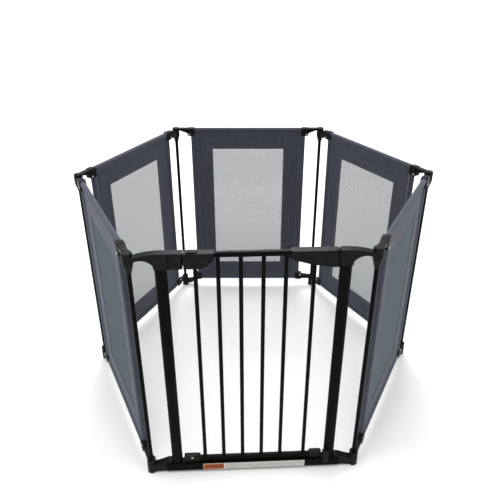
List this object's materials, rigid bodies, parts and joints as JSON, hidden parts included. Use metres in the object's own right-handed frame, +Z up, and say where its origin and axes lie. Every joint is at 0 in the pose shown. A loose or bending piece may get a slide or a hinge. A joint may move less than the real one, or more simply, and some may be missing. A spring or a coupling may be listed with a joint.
{
  "type": "pet gate",
  "caption": "Free-standing pet pen: a gate panel with a swinging barred door and mesh panels hinged into a closed ring.",
  "frame": {"origin": "on the floor, under the middle of the ring's bounding box", "axes": "+Z up; the gate panel is in front, at -Y, and +X is to the right seen from outside the gate"},
  "size_m": [1.131, 1.0631, 0.726],
  "materials": {
    "black_powder_coat": "satin black powder coat on steel tube",
    "black_plastic": "matte black moulded plastic, finely textured",
    "slate_fabric": "plain-weave polyester, slate blue-grey",
    "net_mesh": "open knitted polyester net, slate teal",
    "bright_steel": "zinc-plated screw heads",
    "plain_steel": "plain steel",
    "label_orange": "printed vinyl, left blank",
    "label_silver": "pale metallic vinyl, left blank",
    "indicator_dot": "small moulded dot"
  },
  "bodies": {
    "gate_frame": {"gate_left_post": "black_powder_coat", "gate_right_post": "black_powder_coat", "left_upright": "black_powder_coat", "right_upright": "black_powder_coat", "threshold_rail": "black_powder_coat", "left_top_arm": "black_plastic", "right_top_arm": "black_plastic", "latch_receiver": "black_plastic", "left_bottom_arm": "black_plastic", "right_bottom_arm": "black_plastic", "lower_hinge_boss": "black_plastic", "upper_hinge_plate": "black_powder_coat", "hinge_pins": "plain_steel", "label_colour_block": "label_orange", "label_pale_strip": "label_silver"},
    "door": {"door_top_rail": "black_powder_coat", "door_bottom_rail": "black_powder_coat", "door_bars": "black_powder_coat", "latch_handle": "black_plastic", "hinge_housing": "black_plastic", "bottom_latch_block": "black_plastic", "lock_indicator": "indicator_dot", "bottom_hinge_block": "black_plastic", "latch_spring": "plain_steel"},
    "latch": {"latch_slider": "black_plastic"},
    "left_front_panel": {"left_front_bottom_brackets": "black_plastic", "left_front_fabric_cover": "slate_fabric", "left_front_frame_tube": "black_powder_coat", "left_front_mesh": "net_mesh", "left_front_post": "black_powder_coat", "left_front_screws": "bright_steel", "left_front_top_brackets": "black_plastic"},
    "left_back_panel": {"left_back_bottom_brackets": "black_plastic", "left_back_fabric_cover": "slate_fabric", "left_back_frame_tube": "black_powder_coat", "left_back_mesh": "net_mesh", "left_back_post": "black_powder_coat", "left_back_screws": "bright_steel", "left_back_top_brackets": "black_plastic"},
    "right_front_panel": {"right_front_bottom_brackets": "black_plastic", "right_front_fabric_cover": "slate_fabric", "right_front_frame_tube": "black_powder_coat", "right_front_mesh": "net_mesh", "right_front_post": "black_powder_coat", "right_front_screws": "bright_steel", "right_front_top_brackets": "black_plastic"},
    "right_back_panel": {"right_back_bottom_brackets": "black_plastic", "right_back_fabric_cover": "slate_fabric", "right_back_frame_tube": "black_powder_coat", "right_back_mesh": "net_mesh", "right_back_post": "black_powder_coat", "right_back_screws": "bright_steel", "right_back_top_brackets": "black_plastic"},
    "back_panel": {"back_bottom_brackets": "black_plastic", "back_fabric_cover": "slate_fabric", "back_frame_tube": "black_powder_coat", "back_mesh": "net_mesh", "back_screws": "bright_steel", "back_top_brackets": "black_plastic"}
  },
  "joints": [
    {"name": "left_front_hinge", "type": "hinge", "parent": "gate_frame", "child": "left_front_panel", "pos_m": [-0.32396, -0.51155, 0], "axis": [0, 0, 1], "range_deg": [0, 66.5]},
    {"name": "left_back_hinge", "type": "hinge", "parent": "left_front_panel", "child": "left_back_panel", "pos_m": [-0.55204, 0.01301, 0], "axis": [0, 0, 1], "range_deg": [0, 51.5]},
    {"name": "right_front_hinge", "type": "hinge", "parent": "gate_frame", "child": "right_front_panel", "pos_m": [0.26604, -0.51155, 0], "axis": [0, 0, -1], "range_deg": [0, 60]},
    {"name": "right_back_hinge", "type": "hinge", "parent": "right_front_panel", "child": "right_back_panel", "pos_m": [0.55204, -0.01619, 0], "axis": [0, 0, -1], "range_deg": [0, 57.5]},
    {"name": "back_hinge", "type": "hinge", "parent": "right_back_panel", "child": "back_panel", "pos_m": [0.28786, 0.49115, 0], "axis": [0, 0, -1], "range_deg": [0, 59.8]},
    {"name": "door_swing", "type": "hinge", "parent": "gate_frame", "child": "door", "pos_m": [0.16104, -0.51155, 0], "axis": [0, 0, -1], "range_deg": [-90, 90]},
    {"name": "latch_slide", "type": "slide", "parent": "door", "child": "latch", "axis": [1, 0, 0], "range_m": [0, 0.009], "stiffness_N_per_m": 300, "springref_m": -0.01, "deforming": ["latch_spring"]}
  ]
}
